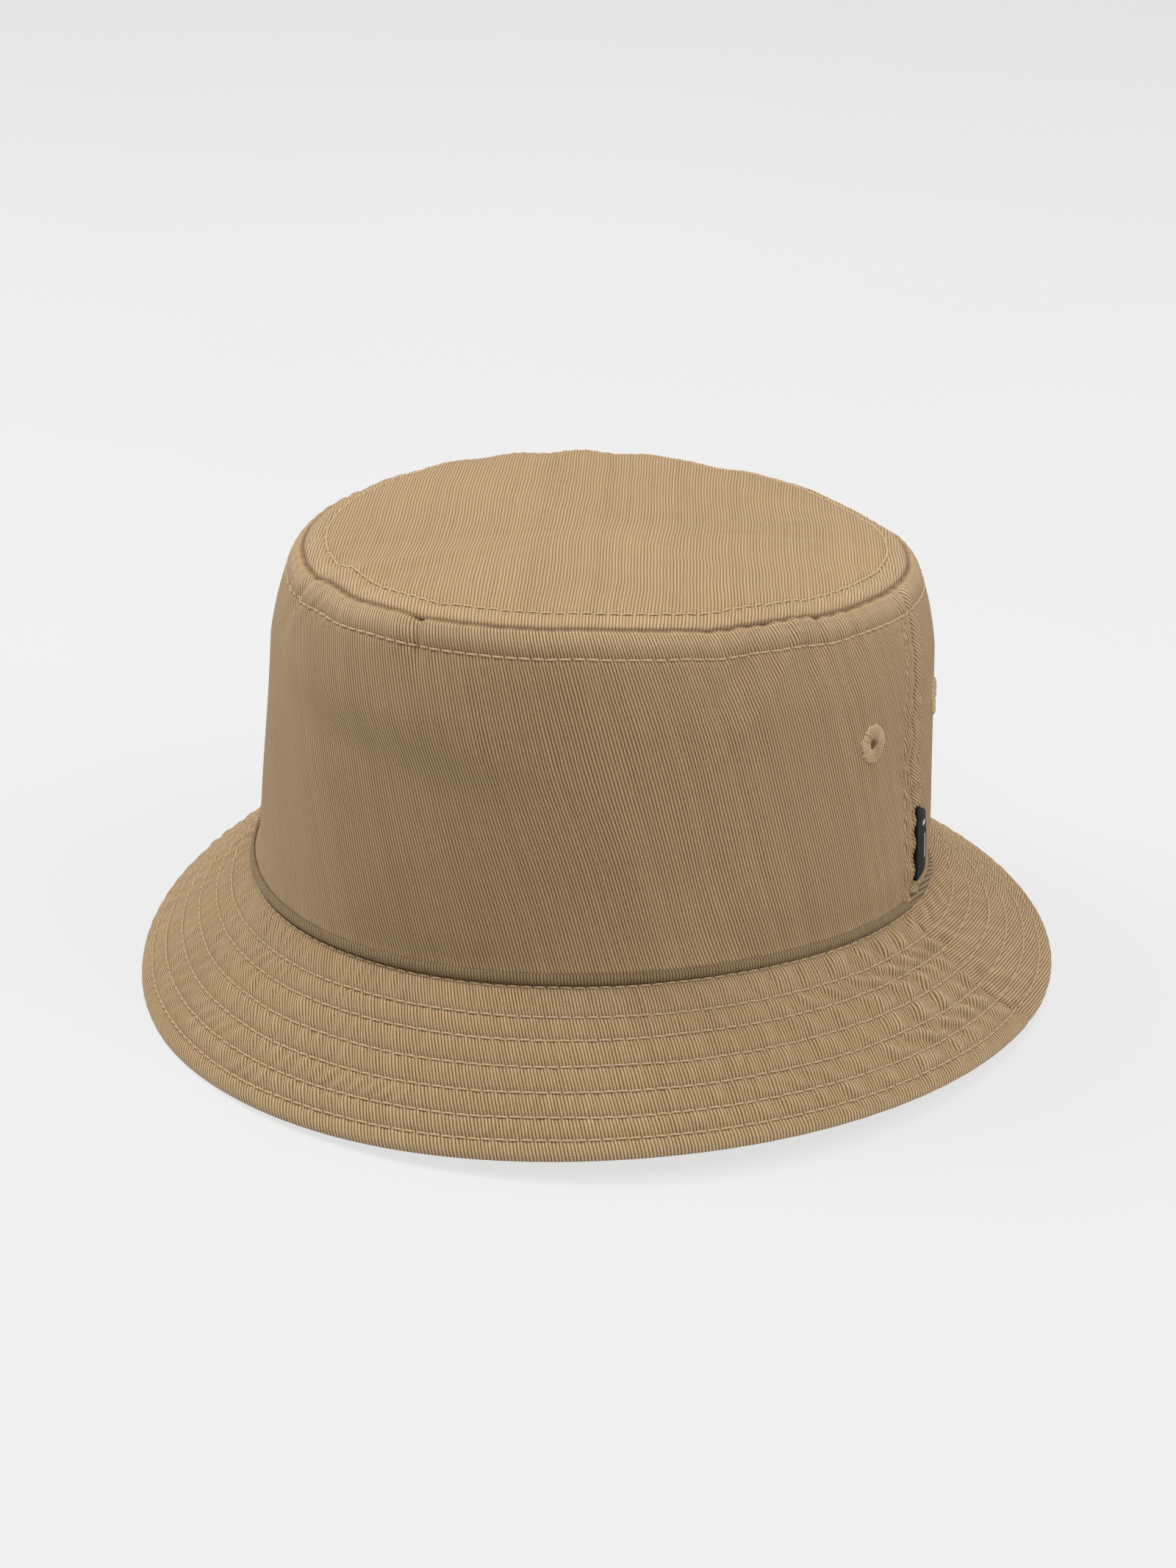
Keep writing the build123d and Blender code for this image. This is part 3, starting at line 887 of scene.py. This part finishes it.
def stitch_chain(path, up, seed):
    """Stitches one after another along a path: points, faces and thread coordinates."""
    steps = np.linalg.norm(np.diff(path, axis=0), axis=1)
    arc = np.concatenate([[0], np.cumsum(steps)])
    count = max(int(round(arc[-1] / STITCH_LENGTH)), 1)
    pitch = arc[-1] / count
    random = np.random.default_rng(seed)
    around = np.arange(THREAD_SIDES) * THREAD * math.pi / THREAD_SIDES
    points, faces, uvs = [], [], []
    for i in range(count):
        low, high = random.uniform(-0.07, 0.07, 2)
        at = (i + STITCH_PLACES) * pitch
        centre = np.stack([np.interp(at, arc, path[:, k]) for k in range(3)], axis=-1)
        n = np.stack([np.interp(at, arc, up[:, k]) for k in range(3)], axis=-1)
        n /= np.linalg.norm(n, axis=1, keepdims=True)
        drift = np.linspace(low, high, len(at))[:, None]
        points.append(stitch_rings(centre, n, drift).reshape(-1, 3))
        faces += stitch_faces(i * len(at) * THREAD_SIDES)
        v, u = np.meshgrid(around, at)
        uvs.append(np.stack([u, v], axis=-1).reshape(-1, 2))
    return np.concatenate(points), faces, np.concatenate(uvs)


def stitched_piece(name, chains, node):
    """One piece made of several chains of stitches."""
    points, faces, uvs, start = [], [], [], 0
    for chain_points, chain_faces, chain_uvs in chains:
        points.append(chain_points)
        uvs.append(chain_uvs)
        faces += [[i + start for i in f] for f in chain_faces]
        start += len(chain_points)
    piece = make_object(name, np.concatenate(points), faces, np.concatenate(uvs))
    finish_piece(piece, sewing_thread, node)


def row_path(surface, width, share, offset, seed):
    """A slightly wandering path round the hat, and the way up from it."""
    angle = np.linspace(0, TURN, 1500) + math.radians(100)
    wander = ROW_WANDER * round_noise(angle, 0 * angle + seed, 36, 61 + seed) / width
    n = normals(surface, angle, share + wander)
    return surface(angle, share + wander) + n * offset, n


def brim_stitching():
    """Seven rows, each with its stitches on top and the bobbin's underneath."""
    layers = 2 * TWILL + STIFFENER
    for number, share in enumerate(BRIM_ROWS, start=1):
        top_path, up = row_path(brim, BRIM_WIDTH, share, 0.0, number)
        low_path, _ = row_path(brim, BRIM_WIDTH, share, -layers, number)
        chains = [stitch_chain(top_path, up, number), stitch_chain(low_path, -up, 20 + number)]
        stitched_piece(f"brim_stitches_{number}", chains, f"brim_stitch_row_{number}")


def tip_stitching():
    """Topstitching on both sides of the tip seam."""
    path, up = row_path(wall, WALL_HEIGHT, 1 - TIP_STITCH / WALL_HEIGHT, 0.0, 11)
    stitched_piece("tip_stitches_lower", [stitch_chain(path, up, 41)], "tip_stitch_lower")
    path, up = row_path(tip, TIP_RADIUS, 1 - TIP_STITCH / TIP_RADIUS, 0.0, 12)
    stitched_piece("tip_stitches_upper", [stitch_chain(path, up, 42)], "tip_stitch_upper")


def side_stitching(name, side):
    """Topstitching on both sides of a side seam."""
    chains = []
    for gap in (-SIDE_STITCH, SIDE_STITCH):
        share = np.linspace(0.02, 1 - (TIP_STITCH + 0.8) / WALL_HEIGHT, 200)
        seam = np.array([side_seam_angle(s, side) for s in share])
        angle = seam + side * gap / WALL_RADIUS
        n = normals(wall, angle, share)
        chains.append(stitch_chain(wall(angle, share), n, 50 + int(gap) + side))
    stitched_piece(f"side_stitches_{name}", chains, f"side_seam_stitch_{name}")


# ------------------------------------------------------------------------ eyelets


def eyelet(name, degrees):
    """A buttonhole-stitched ring: threads side by side from the hole to the outer edge."""
    threads = 34
    per_thread = 6
    around = np.arange(threads * per_thread)
    # the section runs from the outer edge over the front to the hole and back behind
    section = np.linspace(0, TURN, 34, endpoint=False)
    random = np.random.default_rng(abs(int(degrees)))
    thread_of = around // per_thread
    reach = random.uniform(-0.30, 0.35, threads)[thread_of]
    lift = random.uniform(0.88, 1.1, threads)[thread_of]
    ridge = np.abs(np.sin(around / per_thread * math.pi))
    middle = (EYELET_OUTER + EYELET_HOLE) / 2
    half = (EYELET_OUTER - EYELET_HOLE) / 2
    t, s = np.meshgrid(around / len(around) * TURN, section, indexing="ij")
    out = np.cos(s)
    radius = middle + half * np.sign(out) * np.abs(out) ** 0.75
    radius = radius + reach[:, None] * np.clip(out, 0, 1) ** 2
    bulge = np.sign(np.sin(s)) * np.abs(np.sin(s)) ** 0.6
    high = (0.62 + TWILL / 2) * bulge * lift[:, None]
    high = high + 0.34 * bulge * (ridge[:, None] - 0.6) - TWILL / 2
    swirl = t + 0.10 * (radius - EYELET_HOLE) / half
    across, up = radius * np.cos(swirl), radius * np.sin(swirl) * 0.98
    angle = math.radians(degrees) + across / wall_scale(math.radians(degrees))
    share = EYELET_SHARE + up / WALL_HEIGHT
    high = high + eyelet_ground(degrees)
    points = plain_wall(angle, share) + normals(plain_wall, angle, share) * high[..., None]
    uv = np.stack([radius, t * 2.0], axis=-1).reshape(-1, 2)
    faces = closed_grid_faces(len(around), len(section))
    piece = make_object(f"eyelet_{name}_thread", points.reshape(-1, 3), faces, uv)
    finish_piece(piece, sewing_thread, f"eyelet_{name}")


def wall_scale(angle):
    """Millimetres round the wall for each radian, at the eyelets' height."""
    at = np.array([angle - 0.01, angle + 0.01])
    a, b = plain_wall(at, np.full(2, EYELET_SHARE))
    return float(np.linalg.norm(b - a)) / 0.02


def eyelet_ground(degrees):
    """How far the cloth under an eyelet stands out from the plain wall."""
    spot = wall_relief(np.array([math.radians(degrees)]), np.array([EYELET_SHARE]))
    return float(spot[0])


def closed_grid_faces(rows, columns):
    """Quads of a grid that closes on itself both ways."""
    i, j = np.meshgrid(np.arange(rows), np.arange(columns), indexing="ij")
    a, b = (i + 1) % rows, (j + 1) % columns
    quads = np.stack([i * columns + j, i * columns + b, a * columns + b, a * columns + j],
                     axis=-1)
    return quads.reshape(-1, 4)[:, ::-1].tolist()


# ------------------------------------------------------------------------ inside pieces


def inside_uv(angle, share):
    return np.stack([FLAT_RADIUS * angle, share * WALL_HEIGHT], axis=-1)


LAYER_GAP = 0.02           # between an inside piece and what it lies on
BAND_OUTSIDE = -TWILL - TAPE - 0.05


def sweatband():
    shares = np.linspace(0.0, BAND_HEIGHT / WALL_HEIGHT, 40)
    piece = round_layer("sweatband_cloth", wall, shares, BAND_COLUMNS, inside_uv, BAND_OUTSIDE,
                        BAND)
    finish_piece(piece, band_weave, "sweatband")


def side_tape(name, side):
    """A tape over the inside of a side seam."""
    shares = np.linspace(0.01, 1 - 8.5 / WALL_HEIGHT, 60)
    seam = np.array([side_seam_angle(s, side) for s in shares])
    across = np.linspace(-TAPE_WIDTH / 2, TAPE_WIDTH / 2, 22) / WALL_RADIUS
    angle = seam[:, None] + across[None, :]
    share = np.broadcast_to(shares[:, None], angle.shape)
    piece = cloth_layer(f"side_tape_{name}", wall, angle, share, inside_uv(angle, share),
                        -TWILL - LAYER_GAP, TAPE)
    finish_piece(piece, tape_weave, f"side_seam_tape_{name}")


def tip_tape():
    """A flat tape folded into the corner under the tip seam."""
    reach = TAPE_WIDTH / 2
    on_wall = np.linspace(1 - reach / WALL_HEIGHT, 0.992, 12)
    on_tip = np.linspace(0.985, 1 - reach / TIP_RADIUS, 12)
    angle = np.linspace(-math.pi, math.pi, BAND_COLUMNS + 1)[:-1]
    near, far = [], []
    for surface, place in [(wall, s) for s in on_wall] + [(tip, s) for s in on_tip]:
        share = np.full(angle.shape, place)
        p, n = surface(angle, share), normals(surface, angle, share)
        near.append(p - n * (TWILL + 0.05))
        far.append(p - n * (TWILL + TAPE))
    rows, columns = len(near), len(angle)
    faces = two_sided(grid_faces(rows, columns, True), rows * columns)
    along, across = np.meshgrid(TIP_SEAM_RADIUS * angle, np.arange(rows) * 0.7)
    uv = np.concatenate([np.stack([along, across], axis=-1).reshape(-1, 2)] * 2)
    points = np.concatenate(near + far)
    piece = make_object("tip_tape", points, faces, uv)
    finish_piece(piece, tape_weave, "tip_seam_tape")


def size_label():
    """A blank white label sewn flat on the sweatband at the back."""
    shares = np.linspace(8.0, 24.0, 16) / WALL_HEIGHT
    reach = 12.0 / WALL_RADIUS
    angle, share = grid(math.pi - reach, math.pi + reach, 24, shares)
    uv = np.stack([WALL_RADIUS * angle, share * WALL_HEIGHT], axis=-1)
    piece = cloth_layer("size_label_cloth", wall, angle, share, uv,
                        BAND_OUTSIDE - BAND - LAYER_GAP, SIZE_LABEL)
    finish_piece(piece, white_weave, "size_label")


# ------------------------------------------------------------------------ side label


LABEL_HEIGHT = 20.6
LABEL_WIDTH = 9.5
LABEL_OUTWARDS = (0.997, 0.051, 0.056)     # square to the wall at the label's seam


def label_axes():
    """The lower end of the label's sewn edge, and its directions back, up and outwards."""
    joint = next(j for j in frame["joints"] if j["name"] == "label_flap")
    up = -np.array(joint["axis"], dtype=float)
    back = np.cross(up, LABEL_OUTWARDS)
    back /= np.linalg.norm(back)
    return np.array(joint["pos_m"]) / MM, back, up, np.cross(back, up)


def side_label():
    """A folded black ribbon, bowed a little between its sewn edge and its free edge."""
    hinge, back, up, outwards = label_axes()
    u, v = np.meshgrid(np.linspace(0, 1, 28), np.linspace(0, 1, 48))
    low_edge = 0.8 * u
    high_edge = LABEL_HEIGHT - 4.6 * u
    corner = 1.3 * np.clip((u - 0.86) / 0.14, 0, 1) ** 2
    height = low_edge + corner + (high_edge - low_edge - 2 * corner) * v
    across = LABEL_WIDTH * u
    bow = 0.45 * np.sin(math.pi * u) ** 0.8 - 0.35 * u + 0.25 * np.sin(3.1 * v + 0.4) * u - 0.30
    thick = (0.36 + 0.20 * (1 - u) ** 4)[..., None]
    middle = (hinge + across[..., None] * back + height[..., None] * up
              + bow[..., None] * outwards)
    points = np.concatenate([(middle + outwards * thick).reshape(-1, 3),
                             (middle - outwards * thick).reshape(-1, 3)])
    faces = two_sided(grid_faces(*u.shape, False), u.size)
    uv = np.concatenate([np.stack([across, height], axis=-1).reshape(-1, 2)] * 2)
    piece = make_object("side_label_ribbon", points, faces, uv)
    finish_piece(piece, black_label, "side_label", body="label")


# ------------------------------------------------------------------------ stage


def stage():
    mesh = bpy.data.meshes.new("floor")
    far = 12.0
    corners = [(-far, -far, 0), (far, -far, 0), (far, far, 0), (-far, far, 0)]
    mesh.from_pydata(corners, [], [(0, 1, 2, 3)])
    floor = bpy.data.objects.new("floor", mesh)
    bpy.context.collection.objects.link(floor)
    floor.data.materials.append(floor_material())


def soft_light(name, place, size, power):
    """A round lamp that shines on the middle of the hat."""
    light = bpy.data.lights.new(name, "AREA")
    light.shape = "DISK"
    light.size = size
    light.energy = power
    lamp = bpy.data.objects.new(name, light)
    lamp.location = place
    aim = Vector((0, 0, 0.06)) - Vector(place)
    lamp.rotation_euler = aim.to_track_quat("-Z", "Y").to_euler()
    bpy.context.collection.objects.link(lamp)


def light():
    """An even white studio, brighter from the sides than from the front."""
    world = bpy.data.worlds.new("studio")
    world.use_nodes = True
    background = world.node_tree.nodes["Background"]
    background.inputs["Color"].default_value = (1.0, 1.0, 1.0, 1)
    background.inputs["Strength"].default_value = 0.26
    bpy.context.scene.world = world
    bpy.context.scene.view_settings.view_transform = "Standard"
    soft_light("top", (0.0, 0.45, 1.8), 1.6, 16)
    soft_light("left", (-1.0, -0.15, 1.35), 0.8, 17)
    soft_light("right", (1.1, -0.1, 1.2), 0.8, 12)
    soft_light("front", (0.0, -1.0, 1.6), 0.8, 7)


def camera():
    """A long lens, a little to the wearer's left and a little above."""
    azimuth, elevation, roll = math.radians(23.82), math.radians(22.5), math.radians(1.61)
    distance = 0.805
    back = Vector((math.sin(azimuth) * math.cos(elevation),
                   -math.cos(azimuth) * math.cos(elevation), math.sin(elevation)))
    right = Vector((math.cos(azimuth), math.sin(azimuth), 0))
    up = back.cross(right)
    target = Vector((-0.0026, -0.00515, 0.04635))
    turned_right = right * math.cos(roll) + up * math.sin(roll)
    turned_up = up * math.cos(roll) - right * math.sin(roll)
    lens = bpy.data.cameras.new("camera")
    lens.sensor_fit = "HORIZONTAL"
    lens.sensor_width = 36.0
    lens.lens = 93.1896
    lens.clip_end = 100
    eye = bpy.data.objects.new("camera", lens)
    axes = Matrix((turned_right, turned_up, back)).transposed().to_4x4()
    eye.matrix_world = Matrix.Translation(target + back * distance) @ axes
    bpy.context.collection.objects.link(eye)
    bpy.context.scene.camera = eye


# ------------------------------------------------------------------------ the whole scene

stage()
light()
camera()
for half_name in ("front", "back"):
    crown_panel(half_name)
    brim_half(half_name)
tip_panel()
brim_stitching()
tip_stitching()
side_stitching("left", 1)
side_stitching("right", -1)
for eyelet_name, eyelet_angle in EYELETS.items():
    eyelet(eyelet_name, eyelet_angle)
sweatband()
side_tape("left", 1)
side_tape("right", -1)
tip_tape()
size_label()
side_label()
